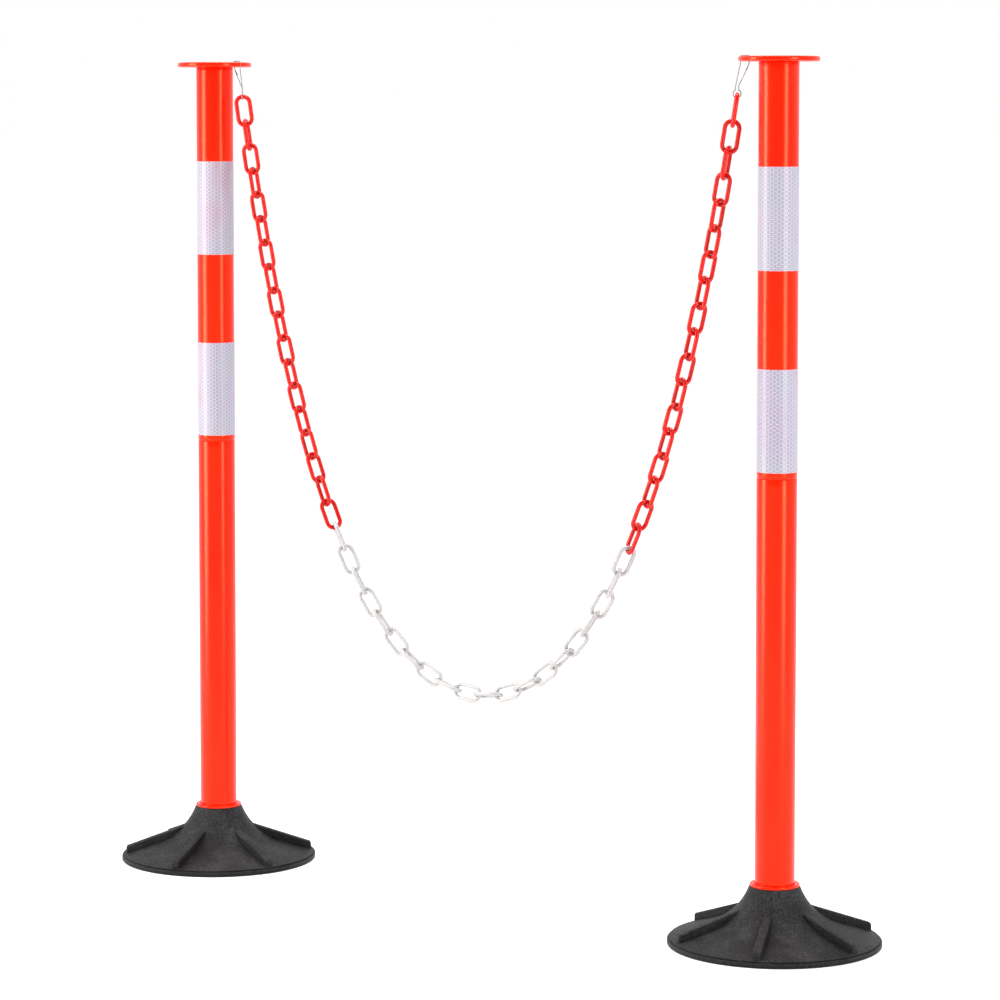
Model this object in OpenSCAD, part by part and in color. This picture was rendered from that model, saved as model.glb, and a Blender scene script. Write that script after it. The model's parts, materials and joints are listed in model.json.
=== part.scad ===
// Plastic chain stanchion: two tube posts in ribbed rubber bases, joined by one
// hanging plastic chain. Each post has a disc cap with four hook holes, and a
// sprung wire hook in one of them holds the chain's end link.
// Millimetres, +Z up, +X from the left post to the right post, floor at z = 0.

/* [Layout] */
// Distance between the two post axes
post_spacing = 890; // [820:5:1000]
// Height of the cap's top face above the floor
overall_h = 1095; // [1000:5:1200]

/* [Tubes] */
// Outside diameter of both tubes
tube_od = 50; // [46:0.5:54]
// Wall of both tubes
tube_wall = 2.2; // [1.5:0.1:3]
// Height of the seam between the lower and the upper tube
seam_z = 579; // [560:1:620]
// Length of the coupling plug inside the seam
coupler_len = 100; // [60:5:160]

/* [Reflective bands] */
// Height of each band
band_h = 127; // [80:1:160]
// Height of the lower band's bottom edge
band_low_z = 587; // [580:1:640]
// Height of the upper band's bottom edge
band_high_z = 834; // [800:1:900]
// Thickness of the sheeting
band_t = 0.3; // [0.2:0.05:0.5]

/* [Cap] */
// Diameter of the cap's disc
cap_d = 100; // [90:1:110]
// Thickness of the disc
cap_t = 6.5; // [5:0.1:8]
// Depth of the plug that holds the cap in the tube
plug_len = 26; // [15:1:40]
// Diameter of each hook hole
hook_hole_d = 7; // [6.6:0.1:8]
// Distance of each hook hole from the post axis
hook_hole_r = 39; // [35:0.5:41]

/* [Base] */
// Diameter of the foot rim
base_d = 266; // [250:2:300]
// Height of the neck that holds the tube
neck_h = 73; // [66:1:80]
// Number of stiffening ribs
rib_count = 6; // [4:1:8]
// Width of each rib
rib_w = 11; // [8:0.5:14]
// Turn of the first rib of the left base
left_rib_turn = 42; // [0:1:59]
// Turn of the first rib of the right base
right_rib_turn = 51; // [0:1:59]

/* [Chain] */
// Links along the whole chain
link_count = 56; // [52:2:60]
// Red links at each end, with white links between them
red_run = 18; // [10:2:22]
// Distance from one link's seat to the next
link_pitch = 32.9; // [32.5:0.1:34]
// Thickness of a link's bar
bar_d = 5.5; // [5:0.1:6]
// Width of a link
link_w = 23.5; // [22:0.5:26]

/* [Hooks] */
// Thickness of the sprung wire
wire_d = 1.2; // [1:0.1:1.5]
// Drop from the cap's top face to the seat of the end link
hook_drop = 49.5; // [44:0.5:56]
// Turn of each hook towards the front, away from the line between the posts
hook_turn = 8; // [0:1:14]

/* [Hidden] */
$fn = 64;
tube_r = tube_od / 2;
bore_r = tube_r - tube_wall;
post_x = post_spacing / 2;

// sliding and press clearances, measured on the radius
slide_gap = 0.08;
plug_gap = 0.05;

// socket collar: a sleeve in the rubber neck with a flange on its top face
socket_floor = 12;
tube_foot_gap = 0.25;
sleeve_r = 28;
flange_r = 31;
flange_t = 3.5;

// base profile
base_r = base_d / 2;
neck_r = 31.5;
skirt_edge_z = 8;
skirt_slope = 17;
neck_lean = 20;
rim_inset = 2;
groove_z = 6.5;
groove_r = 1.2;
recess_h = 5;
recess_r_in = 42;
recess_r_out = 114;
skirt_r = base_r - rim_inset - 0.5;
// radius of the arc that is tangent to the neck's side and to the sloping skirt
sweep_r = (neck_h - skirt_edge_z - tan(skirt_slope) * (skirt_r - neck_r))
    / (cos(skirt_slope) - sin(neck_lean)
       - tan(skirt_slope) * (cos(neck_lean) - sin(skirt_slope)));
// a rib's crest falls from rib_top_z at rib_start_r to rib_end_z at its outer end
rib_top_z = 48;
rib_start_r = 42;
rib_end_z = 18.7;
rib_end_r = 127.5;
rib_edge_r = 2.5;

// cap
cap_under = overall_h - cap_t;
cap_edge_r = 2.4;
plug_r = bore_r - plug_gap;
plug_wall = 2.4;

// hooks: every measure is from the post axis (u) and from the floor (z)
wire_r = wire_d / 2;
seat_gap = 0.22;
hook_gap = 0.4;
seat_z = overall_h - hook_drop;
seat_u = 55.5;
bulb_r = 4.9;
bulb_z = seat_z - hook_gap - wire_r + bulb_r;
neck_half = 1.9;
bulb_open = asin(neck_half / bulb_r);
neck_low_z = bulb_z + bulb_r * cos(bulb_open);
neck_high_z = neck_low_z + 5;
wire_gap = 0.7;
bridge_z = overall_h + wire_r + wire_gap;
outer_u = cap_d / 2 + wire_r + wire_gap;
// the wire's legs turn this far under the cap, and lie lap_gap apart where they lap
turn_drop = 3;
turn_in = 0.6;
lap_gap = 0.15;
tail_len = 9;
wire_bend = 1.8;
wire_sides = 8;
left_bulb_turn = -48;
right_bulb_turn = 25;

// chain: the seats lie on a catenary between the two hooks
seat_x = post_x - seat_u * cos(hook_turn);
seat_y = -seat_u * sin(hook_turn);
chain_len = link_count * link_pitch;
half_span = seat_x;
// the catenary's half angle q solves sinh(q) / q = length / span
function sinh(x) = (exp(x) - exp(-x)) / 2;
function cosh(x) = (exp(x) + exp(-x)) / 2;
function asinh(x) = ln(x + sqrt(x * x + 1));
function half_angle(lo, hi, n) = n == 0 ? (lo + hi) / 2
    : sinh((lo + hi) / 2) / ((lo + hi) / 2) < chain_len / (2 * half_span)
        ? half_angle((lo + hi) / 2, hi, n - 1)
        : half_angle(lo, (lo + hi) / 2, n - 1);
sag_a = half_span / half_angle(0.1, 6, 50);
function seat(k) = let (
        s = k * link_pitch - chain_len / 2,
        x = sag_a * asinh(s / sag_a))
    [x, seat_y, seat_z + sag_a * (cosh(x / sag_a) - cosh(half_span / sag_a))];
// turn of link k about its own length: a quarter turn a link, with a slow twist
twist_start = -40;
twist_step = 4.4;
twist_wave = 17;
wave_step = 20;
function link_turn(k) = 90 * (k - 1) + twist_start + twist_step * (k - 1)
    + twist_wave * sin(wave_step * k);
bend_r = (link_w - bar_d) / 2;
side_len = link_pitch + 2 * seat_gap + bar_d - 2 * bend_r;

rolling = [2:2:link_count];
function link_name(k) = str("link_", k < 10 ? "0" : "", k);
function is_red(k) = k <= red_run || k > link_count - red_run;

orange = [1, 0.2, 0.03];
red = [0.9, 0.08, 0.05];
white = [0.95, 0.95, 0.95];
silver = [0.78, 0.78, 0.84];
charcoal = [0.22, 0.22, 0.23];
steel = [0.7, 0.7, 0.72];

POST_NODES = ["rubber_base", "socket_collar", "lower_tube", "tube_coupler",
    "upper_tube", "lower_band", "upper_band", "disc_cap", "wire_hook"];

module ring(r_out, r_in, z0, z1) {
    translate([0, 0, z0]) difference() {
        cylinder(h = z1 - z0, r = r_out);
        translate([0, 0, -1]) cylinder(h = z1 - z0 + 2, r = r_in);
    }
}

// points of an arc about c, from angle a0 to angle a1
function arc(c, r, a0, a1, n) =
    [for (i = [0:n]) c + r * [cos(a0 + (a1 - a0) * i / n), sin(a0 + (a1 - a0) * i / n)]];

function unit(v) = v / norm(v);

// a path with each inner corner cut back by c and rounded
function rounded(p, c) = concat([p[0]],
    [for (i = [1:len(p) - 2]) let (
        a = p[i] + min(c, norm(p[i - 1] - p[i]) / 2) * unit(p[i - 1] - p[i]),
        b = p[i] + min(c, norm(p[i + 1] - p[i]) / 2) * unit(p[i + 1] - p[i]))
        for (t = [0:0.25:1]) (1 - t) * (1 - t) * a + 2 * t * (1 - t) * p[i] + t * t * b],
    [p[len(p) - 1]]);

// side directions carried along a path without twist
function carried(dir, i, side) = i == len(dir) ? []
    : let (v = unit(side - (side * dir[i]) * dir[i]))
        concat([v], carried(dir, i + 1, v));

// one stiffening rib: a sloping flat-topped bar with eased edges and upright sides,
// which runs down into the skirt
module rib() {
    y = rib_w / 2 - rib_edge_r;
    foot_z = skirt_edge_z - 2;
    hull()
        for (side = [-y, y], p = [[rib_start_r, rib_top_z], [rib_end_r - rib_edge_r, rib_end_z]]) {
            translate([p[0], side, p[1] - rib_edge_r]) sphere(r = rib_edge_r, $fn = 16);
            translate([p[0], side, foot_z]) cylinder(h = 1, r = rib_edge_r, $fn = 16);
        }
}

module rubber_base(turn) color(charcoal) difference() {
    union() {
        rotate_extrude($fn = 96) polygon(concat(
            [[0, 0], [base_r - 0.8, 0], [base_r, 0.8], [base_r, groove_z - 1],
             [base_r - 0.6, groove_z - 0.3], [skirt_r - groove_r, groove_z],
             [skirt_r, groove_z + 0.6], [skirt_r, skirt_edge_z]],
            arc([neck_r + sweep_r * cos(neck_lean), neck_h + sweep_r * sin(neck_lean)],
                sweep_r, 270 - skirt_slope, 180 + neck_lean, 12),
            [[0, neck_h]]));
        for (i = [0:rib_count - 1]) rotate([0, 0, turn + i * 360 / rib_count]) rib();
    }
    translate([0, 0, socket_floor]) cylinder(h = neck_h, r = sleeve_r);
    translate([0, 0, -recess_h]) ring(recess_r_out, recess_r_in, 0, 2 * recess_h);
}

module socket_collar() color(orange) difference() {
    union() {
        translate([0, 0, socket_floor]) cylinder(h = neck_h - socket_floor, r = sleeve_r);
        translate([0, 0, neck_h]) cylinder(h = flange_t - 1, r = flange_r);
        translate([0, 0, neck_h + flange_t - 1]) cylinder(h = 1, r1 = flange_r, r2 = flange_r - 1);
    }
    translate([0, 0, socket_floor - 1])
        cylinder(h = neck_h + flange_t, r = tube_r + slide_gap);
}

module lower_tube() color(orange)
    ring(tube_r, bore_r, socket_floor + tube_foot_gap, seam_z);

module tube_coupler() color(orange)
    ring(plug_r, plug_r - plug_wall, seam_z - coupler_len / 2, seam_z + coupler_len / 2);

module upper_tube() color(orange) ring(tube_r, bore_r, seam_z, cap_under);

module band(z0) color(silver) ring(tube_r + band_t, tube_r, z0, z0 + band_h);

module disc_cap(hook_angle) color(orange) difference() {
    union() {
        rotate_extrude($fn = 96) polygon(concat([[0, cap_under]],
            arc([cap_d / 2 - cap_edge_r, cap_under + cap_edge_r], cap_edge_r, -90, 0, 6),
            arc([cap_d / 2 - cap_edge_r, overall_h - cap_edge_r], cap_edge_r, 0, 90, 6),
            [[0, overall_h]]));
        translate([0, 0, cap_under - plug_len]) cylinder(h = plug_len + 1, r = plug_r);
    }
    translate([0, 0, cap_under - plug_len - 1]) cylinder(h = plug_len, r = plug_r - plug_wall);
    for (i = [0:3]) rotate([0, 0, hook_angle + 90 * i])
        translate([hook_hole_r, 0, cap_under - 1]) cylinder(h = cap_t + 2, d = hook_hole_d);
}

// a wire of wire_sides flats swept through a list of points
module swept_wire(points, r) {
    last = len(points) - 1;
    dir = [for (i = [0:last]) unit(points[min(i + 1, last)] - points[max(i - 1, 0)])];
    side = carried(dir, 0, [0, 1, 0]);
    rings = [for (i = [0:last]) for (j = [0:wire_sides - 1])
        let (a = 360 * j / wire_sides)
            points[i] + r * (cos(a) * side[i] + sin(a) * cross(dir[i], side[i]))];
    n = wire_sides;
    skin = [for (i = [0:last - 1]) for (j = [0:n - 1]) let (
        p = i * n + j, q = i * n + (j + 1) % n)
            each [[p, p + n, q], [q, p + n, q + n]]];
    polyhedron(rings,
        concat(skin, [[for (j = [0:n - 1]) j], [for (j = [n - 1:-1:0]) last * n + j]]));
}

// a sprung wire hook, drawn with the cap's edge towards +X. The wire starts beside
// the inner side, goes up through the hole, over the rim, down to the neck and round
// the open bulb, and comes back up to lie against its own start. The bulb may be
// turned about its own upright axis.
module wire_hook(bulb_turn) color(steel) {
    s = [cos(bulb_turn), sin(bulb_turn), 0];
    c = [seat_u, 0, 0];
    z = [0, 0, 1];
    under = [hook_hole_r + turn_in, 0, cap_under - turn_drop];
    inner_neck = c - neck_half * s + neck_high_z * z;
    outer_neck = c + neck_half * s + neck_high_z * z;
    back = unit(inner_neck - under);
    beside = [0, wire_d + lap_gap, 0];
    swept_wire(concat(
        rounded([under + back * tail_len + beside, under + back + beside / 2,
            [hook_hole_r, 0, cap_under + 1], [hook_hole_r, 0, bridge_z],
            [outer_u, 0, bridge_z], [outer_u, 0, cap_under - turn_drop],
            outer_neck, c + neck_half * s + neck_low_z * z], wire_bend),
        [for (a = [bulb_open + 15:15:345 - bulb_open])
            c + bulb_r * sin(a) * s + (bulb_z + bulb_r * cos(a)) * z],
        rounded([c - neck_half * s + neck_low_z * z, inner_neck,
            under + back * 2], wire_bend)), wire_r);
}

// one link, drawn with its length on Z and its width on X
module link() {
    for (side = [-1, 1]) {
        translate([side * bend_r, 0, -side_len / 2]) cylinder(h = side_len, d = bar_d, $fn = 32);
        translate([0, 0, side * side_len / 2]) rotate([90, 0, 0])
            rotate([0, 0, side > 0 ? 0 : 180])
                rotate_extrude(angle = 180) translate([bend_r, 0]) circle(d = bar_d, $fn = 32);
    }
}

// link k in its place on the catenary
module placed_link(k) {
    a = seat(k - 1);
    b = seat(k);
    slope = atan2(b[2] - a[2], b[0] - a[0]);
    color(is_red(k) ? red : white)
        translate((a + b) / 2)
            rotate([0, 90 - slope, 0])
                rotate([0, 0, link_turn(k)])
                    link();
}

module links(from, to) { for (k = [from:2:to]) placed_link(k); }

// the two posts; side is -1 on the left and 1 on the right
for (side = [-1, 1]) {
    pre = side < 0 ? "left_" : "right_";
    hook_angle = side < 0 ? -hook_turn : 180 + hook_turn;
    translate([side * post_x, 0, 0]) {
        rubber_base(side < 0 ? left_rib_turn : right_rib_turn);
        socket_collar();
        lower_tube();
        tube_coupler();
        upper_tube();
        band(band_low_z);
        band(band_high_z);
        disc_cap(hook_angle);
        rotate([0, 0, hook_angle]) wire_hook(side < 0 ? left_bulb_turn : right_bulb_turn);
    }
}

// the chain: odd links hang in three runs, and every even link is a node of its own
links(1, red_run);  // red_links_left
links(red_run + 1, link_count - red_run);  // white_links
links(link_count - red_run + 1, link_count - 1);  // red_links_right
for (k = rolling) placed_link(k);
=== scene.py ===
import json
import math
import random

import bmesh
import bpy
from mathutils import Matrix, Vector


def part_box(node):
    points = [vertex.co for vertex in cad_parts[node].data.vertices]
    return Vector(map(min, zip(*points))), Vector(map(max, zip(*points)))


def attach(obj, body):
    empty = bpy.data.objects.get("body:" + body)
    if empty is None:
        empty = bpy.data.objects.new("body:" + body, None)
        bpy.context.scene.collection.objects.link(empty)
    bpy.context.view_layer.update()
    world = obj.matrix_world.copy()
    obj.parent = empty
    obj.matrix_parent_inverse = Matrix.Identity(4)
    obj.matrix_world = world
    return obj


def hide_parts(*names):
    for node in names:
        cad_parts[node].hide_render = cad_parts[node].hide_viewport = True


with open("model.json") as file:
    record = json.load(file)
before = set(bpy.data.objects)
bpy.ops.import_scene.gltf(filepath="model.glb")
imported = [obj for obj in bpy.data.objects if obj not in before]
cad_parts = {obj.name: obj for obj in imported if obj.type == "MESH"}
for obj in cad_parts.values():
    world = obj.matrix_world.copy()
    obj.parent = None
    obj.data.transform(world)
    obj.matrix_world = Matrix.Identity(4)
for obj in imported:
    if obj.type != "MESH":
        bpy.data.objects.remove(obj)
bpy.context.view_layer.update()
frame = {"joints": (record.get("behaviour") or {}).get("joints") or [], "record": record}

MM = 0.001
SIDES = ("left", "right")

# Sizes are in mm and turns in degrees. Heights and outer radii come from the frame.

# tubes, coupler, collar and cap
TUBE_WALL = 2.2
PLUG_WALL = 2.4         # wall of the coupler and of the cap's plug
SLEEVE_R = 28.0         # outside of the collar's sleeve, and the bore of the base's neck
FLANGE_T = 3.5          # the collar's ring
COLLAR_GAP = 0.08       # between a tube and its collar
CAP_T = 6.5
HOLE_R = 3.5
HOLE_EASE = 0.7

# reflective bands
CELL = 5.2              # height of one honeycomb cell
FILM_T = 0.28
FILM_TURN = 364         # a whole turn and the part that lies on its own start
LAP_START = 356         # where the film begins to climb onto its own start
LAP_LIFT = 0.16

# rubber base
SOCKET_FLOOR_Z = 12.0
NECK_R, NECK_LEAN = 31.5, 20
SKIRT_EDGE_Z, SKIRT_SLOPE = 8.0, 17
DISH_Z = 5.0            # the hollow under the base
RING_R, HUB_R = 114.4, 41.6     # the inside of the foot's ring, and the pad in the middle
RIBS = 6
RIB_TURN = {"left": 42.0, "right": 51.0}
RIB_START_R, RIB_END_R = 42.0, 127.5
RIB_TOP_Z, RIB_END_Z = 48.0, 18.7
RIB_HALF, RIB_EASE = 5.4, 2.3
RIB_SKIN = 0.1          # how far a drawn rib stays inside the frame's rib

# wire hooks
HOOK_TURN = {"left": -8.0, "right": 188.0}
BULB_TURN = {"left": -48.0, "right": 25.0}
WIRE_R = 0.6
WIRE_GAP = 0.7          # between the cap's top and the wire that crosses it
WIRE_BEND = 1.8
HOLE_U, RIM_U, BULB_U = 39.0, 51.3, 55.5    # distances from the post's axis
BULB_R, BULB_NECK = 4.9, 1.9
TURN_DROP, TURN_IN = 3, 0.6     # the lower bend, from the cap's underside and the hole's middle
LAP_GAP = 0.15

# chain
BAR_D, LINK_W, PITCH = 5.5, 23.5, 32.9
SEAT_GAP = 0.22
FIRST_SEAT_DROP = 2.2   # from the swing's axis down to the first link's seat
FLASH = 0.022           # the moulding line, as a share of the bar's radius
RED_RUN = 18            # red links at each end

# the side of the surround that is dim
OPEN_SIDE = (0.574, -0.819, 0.0)


# ---------------------------------------------------------------- camera and stage

def make_camera():
    """A view from the front right, a little below the caps and tilted slightly down."""
    data = bpy.data.cameras.new("camera")
    data.lens, data.sensor_width = 126.3, 36.0
    data.shift_y = -0.137
    data.clip_end = 400.0
    cam = bpy.data.objects.new("camera", data)
    bpy.context.scene.collection.objects.link(cam)
    cam.location = (2.628, -3.702, 1.021)
    cam.rotation_euler = (math.radians(90 - 4.01), 0, math.radians(35.06))
    bpy.context.scene.camera = cam


def make_softbox(name, place, aim, size, power, colour=(1, 1, 1)):
    """A rectangular lamp at a place, turned towards its aim. Size is width and height."""
    data = bpy.data.lights.new(name, "AREA")
    data.shape = "RECTANGLE"
    data.size, data.size_y = size
    data.energy, data.color = power, colour
    lamp = bpy.data.objects.new(name, data)
    bpy.context.scene.collection.objects.link(lamp)
    lamp.location = place
    lamp.rotation_euler = (Vector(aim) - Vector(place)).to_track_quat("-Z", "Y").to_euler()


def make_surround():
    """A white surround with one dim side, as the open front of a studio."""
    world = bpy.data.worlds.new("studio_surround")
    world.use_nodes = True
    nodes, links = world.node_tree.nodes, world.node_tree.links
    coords = nodes.new("ShaderNodeTexCoord")
    facing = nodes.new("ShaderNodeVectorMath")
    facing.operation = "DOT_PRODUCT"
    facing.inputs[1].default_value = OPEN_SIDE
    links.new(coords.outputs["Generated"], facing.inputs[0])
    level = nodes.new("ShaderNodeMapRange")
    level.interpolation_type = "SMOOTHSTEP"
    for key, value in zip(("From Min", "From Max", "To Min", "To Max"), (0.35, 0.75, 1.0, 0.24)):
        level.inputs[key].default_value = value
    links.new(facing.outputs["Value"], level.inputs["Value"])
    links.new(level.outputs["Result"], nodes["Background"].inputs["Strength"])
    nodes["Background"].inputs["Color"].default_value = (1, 1, 1, 1)
    bpy.context.scene.world = world


def make_stage():
    """A pale floor that runs into the surround, a tall softbox on each side and one above."""
    bpy.context.scene.view_settings.view_transform = "Standard"
    make_surround()
    bm = bmesh.new()
    bmesh.ops.create_grid(bm, x_segments=1, y_segments=1, size=150)
    floor = add_piece("studio_floor", bm)
    floor.location.z = -0.0004
    mat, shader, nodes, links = new_material("pale_floor", 0.6)
    shader.inputs["Base Color"].default_value = (0.8, 0.8, 0.8, 1)
    shader.inputs["Specular IOR Level"].default_value = 0.0
    shader.inputs["Emission Color"].default_value = (1, 1, 1, 1)
    shader.inputs["Emission Strength"].default_value = 0.34
    floor.data.materials.append(mat)
    make_softbox("softbox_left", (-1.82, -2.04, 1.2), (0, 0, 1.0), (1.0, 2.4), 84, (1.0, 0.93, 0.86))
    make_softbox("softbox_right", (3.0, -0.75, 1.2), (0, 0, 1.0), (0.8, 2.4), 60, (1.0, 0.96, 0.94))
    make_softbox("softbox_top", (-0.1, 0.3, 3.2), (0, 0, 0), (1.7, 1.0), 62)


# ---------------------------------------------------------------- mesh helpers

def add_piece(name, bm, sharp=None):
    """Turns a bmesh into a smooth-shaded object; edges steeper than sharp degrees stay crisp."""
    bmesh.ops.recalc_face_normals(bm, faces=bm.faces)
    mesh = bpy.data.meshes.new(name)
    bm.to_mesh(mesh)
    bm.free()
    mesh.shade_smooth()
    if sharp is not None:
        mesh.set_sharp_from_angle(angle=math.radians(sharp))
    obj = bpy.data.objects.new(name, mesh)
    bpy.context.scene.collection.objects.link(obj)
    return obj


def grid_faces(bm, rings, close_rows=False):
    """Quads between closed rings of vertices, each ring a list of the same length."""
    rows, cols = len(rings), len(rings[0])
    for i in range(rows if close_rows else rows - 1):
        a, b = rings[i], rings[(i + 1) % rows]
        for j in range(cols):
            k = (j + 1) % cols
            bm.faces.new((a[j], a[k], b[k], b[j]))


def lathe(bm, profile, centre, segments=128, wobble=None):
    """Revolves a closed outline of (radius, height) about an upright axis, all in mm.

    An outline whose first and last points are on the axis gives a solid without a bore."""
    solid = profile[0][0] == 0
    rings = []
    for r, z in profile[1:-1] if solid else profile:
        ring = []
        for j in range(segments):
            a = 2 * math.pi * j / segments
            q = r + (wobble(a, z) if wobble else 0)
            ring.append(bm.verts.new((centre[0] + q * math.cos(a) * MM,
                                      centre[1] + q * math.sin(a) * MM, z * MM)))
        rings.append(ring)
    grid_faces(bm, rings, close_rows=not solid)
    if solid:
        for ring, z in ((rings[0], profile[0][1]), (rings[-1], profile[-1][1])):
            pole = bm.verts.new((centre[0], centre[1], z * MM))
            for j in range(segments):
                bm.faces.new((ring[j], ring[(j + 1) % segments], pole))


def fillet(profile, radii, steps=5):
    """The outline with each corner rounded by its own radius (0 keeps it)."""
    out = []
    n = len(profile)
    for i, (p, rad) in enumerate(zip(profile, radii)):
        p = Vector(p)
        a, b = Vector(profile[i - 1]) - p, Vector(profile[(i + 1) % n]) - p
        if rad == 0:
            out.append(tuple(p))
            continue
        cut = min(rad, a.length * 0.45, b.length * 0.45)
        a, b = p + a.normalized() * cut, p + b.normalized() * cut
        for s in range(steps + 1):
            t = s / steps
            out.append(tuple((1 - t) ** 2 * a + 2 * t * (1 - t) * p + t * t * b))
    return out


def sweep(bm, path, radius, sides):
    """A round bar along an open path of points in metres, without twist."""
    side = None
    rings = []
    for i, p in enumerate(path):
        d = (path[min(i + 1, len(path) - 1)] - path[max(i - 1, 0)]).normalized()
        if side is None:
            side = Vector((0, 1, 0)) if abs(d.y) < 0.9 else Vector((1, 0, 0))
        side = (side - side.dot(d) * d).normalized()
        up = d.cross(side)
        ring = []
        for j in range(sides):
            a = 2 * math.pi * j / sides
            ring.append(bm.verts.new(p + radius * (math.cos(a) * side + math.sin(a) * up)))
        rings.append(ring)
    grid_faces(bm, rings)
    bm.faces.new(rings[0])
    bm.faces.new(rings[-1])


# ---------------------------------------------------------------- material helpers

def new_material(name, roughness):
    """A Principled material; gives it, its shader and its node tree's nodes and links."""
    mat = bpy.data.materials.new(name)
    mat.use_nodes = True
    nodes, links = mat.node_tree.nodes, mat.node_tree.links
    shader = nodes["Principled BSDF"]
    shader.inputs["Roughness"].default_value = roughness
    return mat, shader, nodes, links


def add_noise(nodes, links, scale, detail=3.0, stretch=None, roughness=0.55):
    """Noise in object space, stretched along the axes if asked. Scale is per metre."""
    coords = nodes.new("ShaderNodeTexCoord")
    noise = nodes.new("ShaderNodeTexNoise")
    noise.inputs["Scale"].default_value = scale
    noise.inputs["Detail"].default_value = detail
    noise.inputs["Roughness"].default_value = roughness
    source = coords.outputs["Object"]
    if stretch:
        mapping = nodes.new("ShaderNodeMapping")
        mapping.inputs["Scale"].default_value = stretch
        links.new(source, mapping.inputs["Vector"])
        source = mapping.outputs["Vector"]
    links.new(source, noise.inputs["Vector"])
    return noise.outputs["Fac"]


def add_ramp(nodes, links, source, stops):
    """A colour ramp; stops are (position, (r, g, b))."""
    ramp = nodes.new("ShaderNodeValToRGB")
    els = ramp.color_ramp.elements
    while len(els) < len(stops):
        els.new(0.5)
    for el, (at, colour) in zip(els, stops):
        el.position, el.color = at, (*colour, 1)
    links.new(source, ramp.inputs["Fac"])
    return ramp.outputs["Color"]


def add_range(nodes, links, source, low, high, start=0.3, end=0.7):
    """Maps source from start..end to low..high, clamped."""
    ranged = nodes.new("ShaderNodeMapRange")
    for key, value in zip(("From Min", "From Max", "To Min", "To Max"), (start, end, low, high)):
        ranged.inputs[key].default_value = value
    links.new(source, ranged.inputs["Value"])
    return ranged.outputs["Result"]


def add_bump(nodes, links, source, distance, strength=1.0, after=None):
    """A bump of the given depth in metres, on top of another normal if asked."""
    bump = nodes.new("ShaderNodeBump")
    bump.inputs["Distance"].default_value = distance
    bump.inputs["Strength"].default_value = strength
    links.new(source, bump.inputs["Height"])
    if after:
        links.new(after, bump.inputs["Normal"])
    return bump.outputs["Normal"]


def add_math(nodes, links, operation, a, b=None):
    """One sum on sockets or numbers."""
    calc = nodes.new("ShaderNodeMath")
    calc.operation = operation
    for socket, value in zip(calc.inputs, (a, b)):
        if value is None:
            continue
        if isinstance(value, (int, float)):
            socket.default_value = value
        else:
            links.new(value, socket)
    return calc.outputs["Value"]


# ---------------------------------------------------------------- materials

def moulded_plastic(name, deep, bright, gloss=(0.17, 0.24), sheen=(1, 1, 1), scatter=0.0,
                    radius=(1, 1, 1)):
    """Glossy moulded plastic: cloudy pigment, long soft waves in the skin, fine scuffs."""
    mat, shader, nodes, links = new_material(name, 0.2)
    cloud = add_noise(nodes, links, 9.0, 4.0, stretch=(1, 1, 0.35))
    links.new(add_ramp(nodes, links, cloud, [(0.3, deep), (0.72, bright)]), shader.inputs["Base Color"])
    fine = add_noise(nodes, links, 160.0, 5.0, stretch=(1, 1, 0.2))
    links.new(add_range(nodes, links, fine, *gloss), shader.inputs["Roughness"])
    long_waves = add_noise(nodes, links, 22.0, 1.0, stretch=(1, 1, 0.08))
    normal = add_bump(nodes, links, long_waves, 0.00004)
    peel = add_noise(nodes, links, 900.0, 2.0)
    links.new(add_bump(nodes, links, peel, 0.00001, 0.5, normal), shader.inputs["Normal"])
    shader.inputs["Specular IOR Level"].default_value = 0.45
    shader.inputs["Specular Tint"].default_value = (*sheen, 1)
    if scatter:
        shader.inputs["Subsurface Weight"].default_value = scatter
        shader.inputs["Subsurface Radius"].default_value = radius
        shader.inputs["Subsurface Scale"].default_value = 0.004
    return mat


def grained_rubber():
    """Charcoal rubber with a fine grain and faint bloom; painted shade darkens the colour in its creases."""
    mat, shader, nodes, links = new_material("grained_rubber", 0.62)
    coords = nodes.new("ShaderNodeTexCoord")
    cells = nodes.new("ShaderNodeTexVoronoi")
    cells.feature = "SMOOTH_F1"
    cells.inputs["Scale"].default_value = 430.0
    cells.inputs["Smoothness"].default_value = 0.6
    links.new(coords.outputs["Object"], cells.inputs["Vector"])
    sand = add_noise(nodes, links, 1500.0, 3.0)
    grain = add_math(nodes, links, "ADD", cells.outputs["Distance"],
                     add_math(nodes, links, "MULTIPLY", sand, 0.6))
    links.new(add_bump(nodes, links, grain, 0.0009, 1.0), shader.inputs["Normal"])
    bloom = add_noise(nodes, links, 26.0, 6.0, roughness=0.65)
    speck = add_range(nodes, links, grain, -0.16, 0.26, 0.2, 1.0)
    shade = add_math(nodes, links, "ADD", bloom, speck)
    stops = [(0.25, (0.0014, 0.0015, 0.0018)), (0.55, (0.0036, 0.0039, 0.0045)),
             (0.85, (0.032, 0.034, 0.037))]
    # painted shade: ambient occlusion darkens the colour in the creases, beside the ribs and under the rim
    hollow = nodes.new("ShaderNodeAmbientOcclusion")
    hollow.samples = 6
    hollow.inputs["Distance"].default_value = 0.018
    links.new(add_ramp(nodes, links, shade, stops), hollow.inputs["Color"])
    painted_crease_shade = nodes.new("ShaderNodeMix")
    painted_crease_shade.data_type, painted_crease_shade.blend_type = "RGBA", "MULTIPLY"
    painted_crease_shade.inputs["Factor"].default_value = 1.0
    links.new(hollow.outputs["Color"], painted_crease_shade.inputs["A"])
    links.new(hollow.outputs["AO"], painted_crease_shade.inputs["B"])
    links.new(painted_crease_shade.outputs["Result"], shader.inputs["Base Color"])
    links.new(add_range(nodes, links, bloom, 0.46, 0.64), shader.inputs["Roughness"])
    shader.inputs["Specular IOR Level"].default_value = 0.22
    return mat


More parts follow.
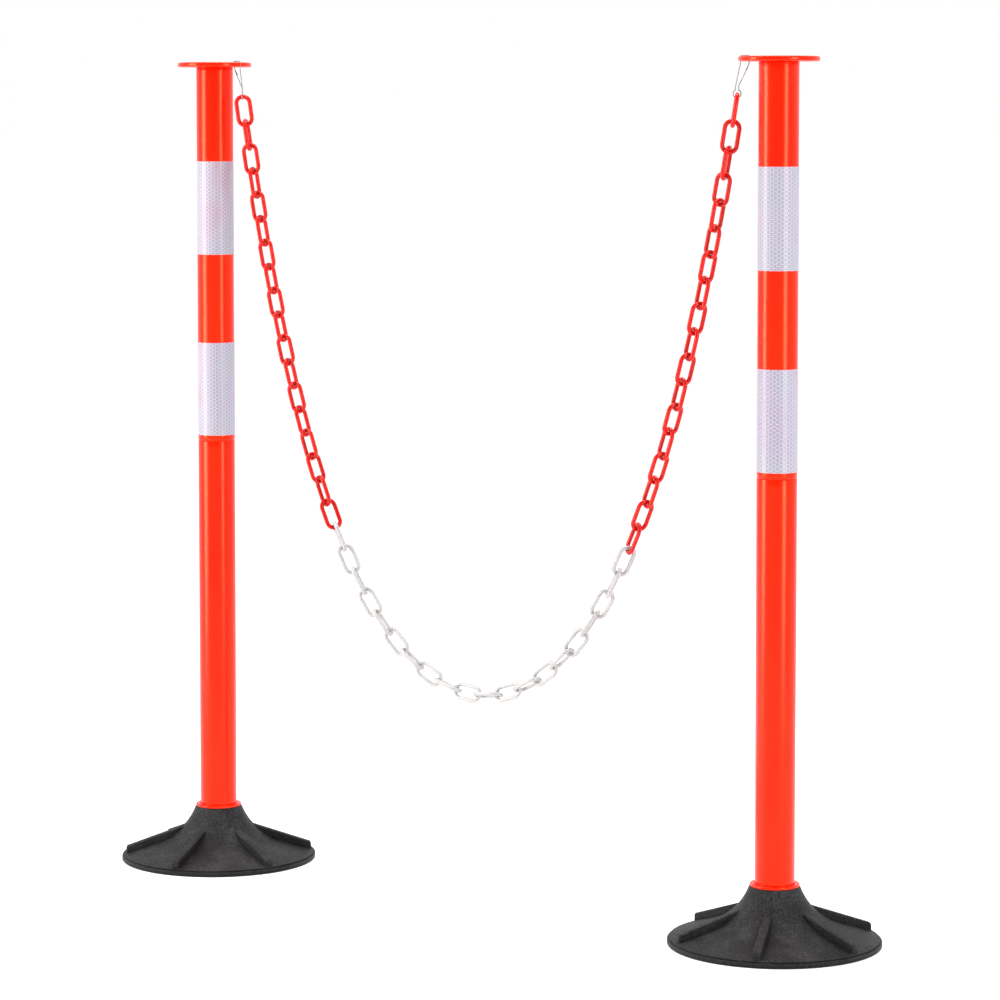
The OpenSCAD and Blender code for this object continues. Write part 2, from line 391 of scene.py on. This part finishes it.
def drawn_wire():
    """Bright spring steel with lengthwise drawing marks and small dull spots."""
    mat, shader, nodes, links = new_material("drawn_wire", 0.25)
    shader.inputs["Metallic"].default_value = 1.0
    marks = add_noise(nodes, links, 2400.0, 2.0, stretch=(1, 1, 0.05))
    dull = add_noise(nodes, links, 260.0, 4.0)
    stops = [(0.3, (0.13, 0.13, 0.13)), (0.7, (0.34, 0.34, 0.34))]
    links.new(add_ramp(nodes, links, dull, stops), shader.inputs["Base Color"])
    links.new(add_range(nodes, links, dull, 0.18, 0.42), shader.inputs["Roughness"])
    links.new(add_bump(nodes, links, marks, 0.00002, 0.6), shader.inputs["Normal"])
    return mat


def honeycomb_sheeting():
    """Retroreflective film: hexagonal cells with pale walls and pearly centres."""
    mat, shader, nodes, links = new_material("honeycomb_sheeting", 0.3)
    film = nodes.new("ShaderNodeUVMap")
    film.uv_map = "film"
    split = nodes.new("ShaderNodeSeparateXYZ")
    links.new(film.outputs["UV"], split.inputs[0])
    row = math.sqrt(3)
    # the film's map is in cells: x runs up the band, y round it

    def centred(shift):
        x = add_math(nodes, links, "ADD", split.outputs["Y"], shift)
        y = add_math(nodes, links, "ADD", split.outputs["X"], shift * row)
        x = add_math(nodes, links, "SUBTRACT", add_math(nodes, links, "FLOORED_MODULO", x, 1.0), 0.5)
        y = add_math(nodes, links, "FLOORED_MODULO", y, row)
        y = add_math(nodes, links, "SUBTRACT", y, row / 2)
        x = add_math(nodes, links, "ABSOLUTE", x)
        y = add_math(nodes, links, "ABSOLUTE", y)
        slant = add_math(nodes, links, "ADD", add_math(nodes, links, "MULTIPLY", x, 0.5),
                         add_math(nodes, links, "MULTIPLY", y, row / 2))
        return add_math(nodes, links, "MAXIMUM", x, slant)

    edge = add_math(nodes, links, "MINIMUM", centred(0.0), centred(0.5))
    walls = [(0.0, (0.38, 0.35, 0.42)), (0.20, (0.35, 0.32, 0.39)), (0.31, (0.25, 0.23, 0.29)),
             (0.38, (0.33, 0.31, 0.37)), (0.43, (0.45, 0.43, 0.49)), (0.5, (0.51, 0.49, 0.55))]
    base = add_ramp(nodes, links, edge, walls)
    tint_noise = add_noise(nodes, links, 22.0, 2.0, stretch=(1, 1, 0.4))
    tints = [(0.34, (1.0, 0.80, 0.87)), (0.45, (0.98, 0.95, 1.0)), (0.55, (0.88, 0.97, 1.0)),
             (0.66, (0.94, 0.88, 1.0))]
    tint = add_ramp(nodes, links, tint_noise, tints)
    mix = nodes.new("ShaderNodeMix")
    mix.data_type, mix.blend_type = "RGBA", "MULTIPLY"
    mix.inputs["Factor"].default_value = 0.75
    links.new(base, mix.inputs["A"])
    links.new(tint, mix.inputs["B"])
    links.new(mix.outputs["Result"], shader.inputs["Base Color"])
    links.new(add_range(nodes, links, edge, 0.36, 0.52, 0.36, 0.44), shader.inputs["Roughness"])
    links.new(add_bump(nodes, links, edge, 0.00012, 0.5), shader.inputs["Normal"])
    shader.inputs["Coat Weight"].default_value = 0.07
    shader.inputs["Coat Roughness"].default_value = 0.14
    return mat


# ---------------------------------------------------------------- post pieces

def axis_of(side):
    """Where a post's axis stands, from its lower tube."""
    low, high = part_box(side + "_lower_tube")
    return (low.x + high.x) / 2, (low.y + high.y) / 2


def node_mm(node):
    """A turned node's outer radius, lowest and highest height, in mm."""
    low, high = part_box(node)
    return (high.x - low.x) / 2 / MM, low.z / MM, high.z / MM


def finish_piece(obj, body, node, mat):
    """Gives a piece its material and body, and hides the frame's node that it stands for."""
    obj.data.materials.append(mat)
    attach(obj, body)
    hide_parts(node)


def make_tube(side, part, mat):
    """An extruded tube: softly rounded ends, and a skin that is not quite true."""
    node = f"{side}_{part}_tube"
    r, z0, z1 = node_mm(node)
    rng = random.Random(node)
    shift = [rng.uniform(0, 6.28) for _ in range(3)]

    def wobble(a, z):
        return (0.035 * math.sin(2 * a + shift[0] + z / 90)
                + 0.025 * math.sin(3 * a + shift[1] - z / 61) - 0.06)

    steps = 60
    bore, lip, round_in, inner_ease = r - TUBE_WALL, 0.9, 0.25, 0.5
    outline = [(bore, z0 + inner_ease), (bore + inner_ease, z0), (r - lip, z0),
               (r - round_in, z0 + round_in), (r, z0 + lip)]
    outline += [(r, z0 + (z1 - z0) * i / steps) for i in range(1, steps)]
    outline += [(r, z1 - lip), (r - round_in, z1 - round_in), (r - lip, z1),
                (bore + inner_ease, z1), (bore, z1 - inner_ease)]
    bm = bmesh.new()
    lathe(bm, outline, axis_of(side), 128, wobble)
    tube = add_piece(f"{side}_{part}_tube_skin", bm, 50)
    finish_piece(tube, side + "_post", node, mat)


def make_band(side, level, mat):
    """One turn of sheeting with its end lapped over its start, mapped in honeycomb cells."""
    node = f"{side}_{level}_band"
    r, z0, z1 = node_mm(node)
    cx, cy = axis_of(side)
    bm = bmesh.new()
    film = bm.loops.layers.uv.new("film")
    start, turn = math.radians(80), math.radians(FILM_TURN)
    cols, rows = 180, 24

    def shell(offset, col):
        a = start + turn * col / cols
        climb = (col / cols * FILM_TURN - LAP_START) / (360 - LAP_START)
        q = (r - FILM_T + offset + LAP_LIFT * max(0.0, min(1.0, climb))) * MM
        return cx + q * math.cos(a), cy + q * math.sin(a)

    def layer(offset):
        margin = 0.15
        heights = [(z0 + margin + (z1 - z0 - 2 * margin) * i / rows) * MM for i in range(rows + 1)]
        return [[bm.verts.new((*shell(offset, c), z)) for c in range(cols + 1)] for z in heights]

    out, inn = layer(FILM_T - 0.1), layer(0.0)
    for i in range(rows):
        for c in range(cols):
            bm.faces.new((out[i][c], out[i][c + 1], out[i + 1][c + 1], out[i + 1][c]))
            bm.faces.new((inn[i][c], inn[i + 1][c], inn[i + 1][c + 1], inn[i][c + 1]))
    for c in range(cols):
        for i in (0, rows):
            bm.faces.new((out[i][c], inn[i][c], inn[i][c + 1], out[i][c + 1]))
    for i in range(rows):
        for c in (0, cols):
            bm.faces.new((out[i][c], out[i + 1][c], inn[i + 1][c], inn[i][c]))
    for face in bm.faces:
        angles = [math.atan2(l.vert.co.y - cy, l.vert.co.x - cx) for l in face.loops]
        for l, a in zip(face.loops, angles):
            if max(angles) - min(angles) > math.pi and a < 0:
                a += 2 * math.pi
            l[film].uv = ((a + math.pi) * r / CELL, l.vert.co.z / MM / CELL)
    band = add_piece(f"{side}_{level}_band_film", bm, 40)
    finish_piece(band, side + "_post", node, mat)


def cut(obj, cutter):
    """Cuts one mesh out of another and removes the cutter."""
    mod = obj.modifiers.new("cut", "BOOLEAN")
    mod.operation, mod.object, mod.solver = "DIFFERENCE", cutter, "EXACT"
    graph = bpy.context.evaluated_depsgraph_get()
    mesh = bpy.data.meshes.new_from_object(obj.evaluated_get(graph))
    obj.modifiers.clear()
    old, obj.data = obj.data, mesh
    bpy.data.meshes.remove(old)
    bpy.data.objects.remove(cutter)


def hook_holes(side):
    """Centres of the cap's four hook holes in metres: three free mounts and the one in use."""
    cx, cy = axis_of(side)
    free = [Vector(m["pos_m"][:2]) for m in frame["record"]["mounts"]
            if m["name"].startswith(side + "_cap")]
    used = Vector((4 * cx, 4 * cy)) - sum(free, Vector((0, 0)))
    return free + [used]


def make_cap(side, mat):
    """The disc with its plug: rounded rim, shallow dish on top, eased hook holes."""
    node = side + "_disc_cap"
    r, z0, z1 = node_mm(node)
    plug_r = node_mm(side + "_tube_coupler")[0]
    under = z1 - CAP_T
    outline = [(0, under - 3), (plug_r - PLUG_WALL, under - 3), (plug_r - PLUG_WALL, z0),
               (plug_r, z0), (plug_r, under), (r, under), (r, z1), (20, z1), (16, z1 - 0.7), (0, z1 - 0.7)]
    radii = [0, 1, 0.5, 0.8, 0.6, 2.7, 2.7, 2, 2, 0]
    bm = bmesh.new()
    lathe(bm, fillet(outline, radii), axis_of(side), 160)
    cap = add_piece(side + "_cap_moulding", bm)
    bm = bmesh.new()
    mouth_r = HOLE_R + 2 * HOLE_EASE
    wall = [(0, under - 2), (mouth_r, under - 2), (mouth_r, under - 0.01), (HOLE_R, under + HOLE_EASE),
            (HOLE_R, z1 - HOLE_EASE), (mouth_r, z1 + 0.01), (mouth_r, z1 + 2), (0, z1 + 2)]
    for hole in hook_holes(side):
        lathe(bm, fillet(wall, [0, 0, 0, 1.2, 1.2, 0, 0, 0], 3), hole, 40)
    cut(cap, add_piece("hole_cutter", bm))
    cap.data.shade_smooth()
    cap.data.set_sharp_from_angle(angle=math.radians(35))
    finish_piece(cap, side + "_post", node, mat)


def make_collar(side, mat):
    """The flanged sleeve in the base's neck."""
    node = side + "_socket_collar"
    r, z0, z1 = node_mm(node)
    bore = node_mm(side + "_lower_tube")[0] + COLLAR_GAP
    outline = [(bore, z0), (SLEEVE_R, z0), (SLEEVE_R, z1 - FLANGE_T), (r, z1 - FLANGE_T), (r, z1), (bore, z1)]
    bm = bmesh.new()
    lathe(bm, fillet(outline, [0.5, 0.5, 0.4, 1.0, 1.6, 0.8]), axis_of(side), 128)
    collar = add_piece(side + "_collar_ring", bm, 45)
    finish_piece(collar, "bases", node, mat)


def make_coupler(side, mat):
    """The plug inside the seam, relieved a little round its middle."""
    node = side + "_tube_coupler"
    r, z0, z1 = node_mm(node)
    mid, waist, relief = (z0 + z1) / 2, 20, 0.4
    outline = [(r - PLUG_WALL, z0), (r, z0), (r, mid - waist), (r - relief, mid - waist + 1),
               (r - relief, mid + waist - 1), (r, mid + waist), (r, z1), (r - PLUG_WALL, z1)]
    bm = bmesh.new()
    lathe(bm, fillet(outline, [0.6, 1.5, 0, 0, 0, 0, 1.5, 0.6]), axis_of(side), 96)
    plug = add_piece(side + "_coupler_plug", bm, 45)
    finish_piece(plug, side + "_post", node, mat)


def draw_rib(bm, centre, turn):
    """One stiffening rib: a sloping bar with an eased flat top and a rounded upright end."""
    end, run = RIB_END_R - RIB_SKIN, RIB_END_R - RIB_START_R
    straight = end - RIB_EASE - RIB_START_R
    quarter = [math.pi / 2 * i / 6 for i in range(7)]
    stations = [(RIB_START_R + straight * i / 40, 0.0) for i in range(41)]
    stations += [(end - RIB_EASE + RIB_EASE * math.sin(t), RIB_EASE * (1 - math.cos(t))) for t in quarter[1:]]
    root_z, root_spread = 6.5, 0.25
    rings = []
    for along, shrink in stations:
        fall = (min(along, end) - RIB_START_R) * (RIB_TOP_Z - RIB_END_Z) / run
        crest = RIB_TOP_Z - fall - RIB_SKIN - shrink
        half = RIB_HALF - shrink
        round_top = [(half - RIB_EASE * (1 - math.cos(t)), crest - RIB_EASE * (1 - math.sin(t)))
                     for t in quarter]
        flat_top = [(half * f, crest) for f in (0.25, 0, -0.25)]
        section = ([(half + root_spread, root_z), (half, root_z + 2)] + round_top + flat_top
                   + [(-y, z) for y, z in reversed(round_top)]
                   + [(-half, root_z + 2), (-half - root_spread, root_z)])
        rings.append([bm.verts.new((centre[0] + (along * math.cos(turn) - y * math.sin(turn)) * MM,
                                    centre[1] + (along * math.sin(turn) + y * math.cos(turn)) * MM,
                                    z * MM)) for y, z in section])
    grid_faces(bm, rings)
    bm.faces.new(rings[0])
    bm.faces.new(rings[-1])


def make_base(side, mat):
    """The rubber base: a sweeping skirt, six ribs that grow out of it, a rim and a dished underside."""
    node = side + "_rubber_base"
    r_foot, _, neck = node_mm(node)
    cx, cy = axis_of(side)
    skirt_r, edge_z, neck_r = r_foot - 2.5, SKIRT_EDGE_Z, NECK_R
    lean, slope = math.radians(NECK_LEAN), math.radians(SKIRT_SLOPE)
    # the arc that is tangent to the neck's side and to the skirt
    arc_r = ((neck - edge_z - math.tan(slope) * (skirt_r - neck_r))
             / (math.cos(slope) - math.sin(lean) - math.tan(slope) * (math.cos(lean) - math.sin(slope))))
    middle = (neck_r + arc_r * math.cos(lean), neck + arc_r * math.sin(lean))
    top = []
    steps = 44
    for i in range(steps + 1):
        a = math.pi + lean + (math.pi / 2 - slope - lean) * i / steps
        top.append((middle[0] + arc_r * math.cos(a), middle[1] + arc_r * math.sin(a)))
    last = top[-1]
    steps = 46
    for i in range(1, steps + 1):
        t = i / steps
        top.append((last[0] + (skirt_r - last[0]) * t, last[1] + (edge_z - last[1]) * t))

    bm = bmesh.new()
    floor = SOCKET_FLOOR_Z
    inner = fillet([(SLEEVE_R, floor), (SLEEVE_R, neck), (neck_r - 0.2, neck)], [0, 0.6, 0], 3)[:-1]
    rim = [(skirt_r + 0.1, 7.2), (skirt_r - 0.9, 6.7), (skirt_r - 0.7, 6.2), (r_foot - 0.6, 6.1),
           (r_foot - 0.1, 5.6), (r_foot, 4.8), (r_foot, 0.9), (r_foot - 0.8, 0.0)]
    under = [(RING_R, 0.0), (RING_R - 0.8, 0.6), (RING_R - 1.9, DISH_Z), (60, DISH_Z),
             (HUB_R + 1.9, DISH_Z), (HUB_R + 0.8, 0.6), (HUB_R, 0.0), (12, 0.0), (0, 0.0)]
    lathe(bm, [(0, floor), (14, floor)] + inner + top + rim + under, (cx, cy), 180)
    for i in range(RIBS):
        draw_rib(bm, (cx, cy), math.radians(RIB_TURN[side] + 360 / RIBS * i))
    base = add_piece(side + "_base_moulding", bm, 60)
    finish_piece(base, "bases", node, mat)


# ---------------------------------------------------------------- hooks

def rounded_path(points, cut_back, steps=8):
    """The path with each inner corner replaced by a curve that starts cut_back before it."""
    out = [points[0]]
    for i in range(1, len(points) - 1):
        p = points[i]
        a, b = points[i - 1] - p, points[i + 1] - p
        a = p + a.normalized() * min(cut_back, a.length / 2)
        b = p + b.normalized() * min(cut_back, b.length / 2)
        for s in range(steps + 1):
            t = s / steps
            out.append((1 - t) ** 2 * a + 2 * t * (1 - t) * p + t * t * b)
    return out + [points[-1]]


def make_hook(side, mat):
    """One wire: up through the hole, over the rim, down to a neck, round the bulb and back to its start."""
    node = side + "_wire_hook"
    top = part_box(side + "_disc_cap")[1].z / MM
    under = top - CAP_T
    bulb_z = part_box(node)[0].z / MM + WIRE_R + BULB_R
    gap = math.asin(BULB_NECK / BULB_R)
    low_z = bulb_z + BULB_R * math.cos(gap)
    turn = math.radians(BULB_TURN[side])
    s = Vector((math.cos(turn), math.sin(turn), 0))
    c, z = Vector((BULB_U, 0, 0)), Vector((0, 0, 1))
    bridge = top + WIRE_R + WIRE_GAP
    start = Vector((HOLE_U + TURN_IN, 0, under - TURN_DROP))
    neck_in, neck_out = c - BULB_NECK * s, c + BULB_NECK * s
    back = (neck_in + (low_z + 5) * z - start).normalized()
    beside = Vector((0, 2 * WIRE_R + LAP_GAP, 0))
    path = rounded_path([start + back * 9 + beside, start + back + beside / 2,
                         Vector((HOLE_U, 0, under + 1)), Vector((HOLE_U, 0, bridge)),
                         Vector((RIM_U, 0, bridge)), Vector((RIM_U, 0, under - TURN_DROP)),
                         neck_out + (low_z + 5) * z, neck_out + low_z * z], WIRE_BEND)
    turns = 48
    for i in range(1, turns):
        a = gap + (2 * math.pi - 2 * gap) * i / turns
        path.append(c + BULB_R * math.sin(a) * s + (bulb_z + BULB_R * math.cos(a)) * z)
    path += rounded_path([neck_in + low_z * z, neck_in + (low_z + 5) * z, start + back * 2], WIRE_BEND)
    cx, cy = axis_of(side)
    place = Matrix.Translation((cx, cy, 0)) @ Matrix.Rotation(math.radians(HOOK_TURN[side]), 4, "Z")
    path = [place @ (p * MM) for p in path]
    bm = bmesh.new()
    sweep(bm, path, WIRE_R * MM, 12)
    hook = add_piece(side + "_hook_wire", bm, 60)
    finish_piece(hook, side + "_hook", node, mat)


# ---------------------------------------------------------------- chain

def link_turn(k):
    """Link k's turn about its length: a quarter turn a link, and a slow, uneven twist."""
    return 90 * (k - 1) - 40 + 4.4 * (k - 1) + 17 * math.sin(math.radians(20 * k))


def link_places():
    """Each link's middle and direction, from the roll joints of the even links."""
    rolls = [j for j in frame["joints"] if j["name"].endswith("_roll")]
    rolls.sort(key=lambda j: j["name"])
    even = [(Vector(j["pos_m"]), Vector(j["axis"]).normalized()) for j in rolls]
    swing = next(j for j in frame["joints"] if j["name"] == "chain_swing")
    pitch = PITCH * MM
    places = {}
    seat = Vector(swing["pos_m"]) - Vector((0, 0, FIRST_SEAT_DROP * MM))
    for i, (middle, along) in enumerate(even):
        first = middle - along * pitch / 2
        places[2 * i + 1] = ((seat + first) / 2, (first - seat).normalized())
        places[2 * i + 2] = (middle, along)
        seat = middle + along * pitch / 2
    return places


def draw_link(bm, middle, along, turn):
    """One moulded link: a round bar with a faint moulding line along its inside and outside."""
    bend = (LINK_W - BAR_D) / 2
    half = (PITCH + 2 * SEAT_GAP + BAR_D) / 2 - bend
    path = []
    steps = 20
    for end in (1, -1):
        for i in range(steps + 1):
            a = math.pi * i / steps
            path.append(Vector((end * bend * math.cos(a), 0, end * (half + bend * math.sin(a)))))
        for i in range(1, 8):
            path.append(Vector((-end * bend, 0, end * half * (1 - 2 * i / 8))))
    slope = math.atan2(along.z, along.x)
    rot = Matrix.Rotation(math.pi / 2 - slope, 4, "Y") @ Matrix.Rotation(math.radians(turn), 4, "Z")
    place = Matrix.Translation(middle) @ rot
    points = [place @ (p * MM) for p in path]
    across = rot @ Vector((0, 1, 0))
    rings = []
    sides = 20
    n = len(points)
    for i, p in enumerate(points):
        d = (points[(i + 1) % n] - points[i - 1]).normalized()
        out = d.cross(across)
        ring = []
        for j in range(sides):
            a = 2 * math.pi * j / sides
            r = BAR_D / 2 * (1 + (FLASH if j in (0, sides // 2) else 0)) * MM
            ring.append(bm.verts.new(p + r * (math.cos(a) * out + math.sin(a) * across)))
        rings.append(ring)
    grid_faces(bm, rings, close_rows=True)


def make_links(node, body, numbers, places, plastics):
    """The links of one node as one piece."""
    bm = bmesh.new()
    for k in numbers:
        draw_link(bm, *places[k], link_turn(k))
    is_red = numbers[0] <= RED_RUN or numbers[0] > len(places) - RED_RUN
    slot = "red_plastic" if is_red else "white_plastic"
    finish_piece(add_piece(node + "_moulded", bm), body, node, plastics[slot])


def make_chain(plastics):
    """Every even link is a piece of its own; the odd links hang in three runs."""
    places = link_places()
    count = len(places)
    runs = {"red_links_left": range(1, RED_RUN, 2),
            "white_links": range(RED_RUN + 1, count - RED_RUN, 2),
            "red_links_right": range(count - RED_RUN + 1, count, 2)}
    for node, numbers in runs.items():
        make_links(node, "chain", numbers, places, plastics)
    for k in range(2, count + 1, 2):
        node = f"link_{k:02d}"
        make_links(node, node, (k,), places, plastics)


# ---------------------------------------------------------------- the object

make_camera()
make_stage()
orange = moulded_plastic("orange_plastic", (0.86, 0.004, 0.0), (0.95, 0.014, 0.0), sheen=(1.0, 0.54, 0.27))
red = moulded_plastic("red_plastic", (0.47, 0.003, 0.002), (0.58, 0.006, 0.003), (0.18, 0.3),
                      (1.0, 0.6, 0.52), 0.05, (1.0, 0.15, 0.1))
white = moulded_plastic("white_plastic", (0.40, 0.40, 0.41), (0.46, 0.46, 0.46), (0.2, 0.34),
                        (1, 1, 1), 0.25, (1, 0.95, 0.9))
rubber = grained_rubber()
wire = drawn_wire()
sheeting = honeycomb_sheeting()
for side in SIDES:
    make_base(side, rubber)
    make_collar(side, orange)
    for part in ("lower", "upper"):
        make_tube(side, part, orange)
    for level in ("lower", "upper"):
        make_band(side, level, sheeting)
    make_coupler(side, orange)
    make_cap(side, orange)
    make_hook(side, wire)
make_chain({"red_plastic": red, "white_plastic": white})
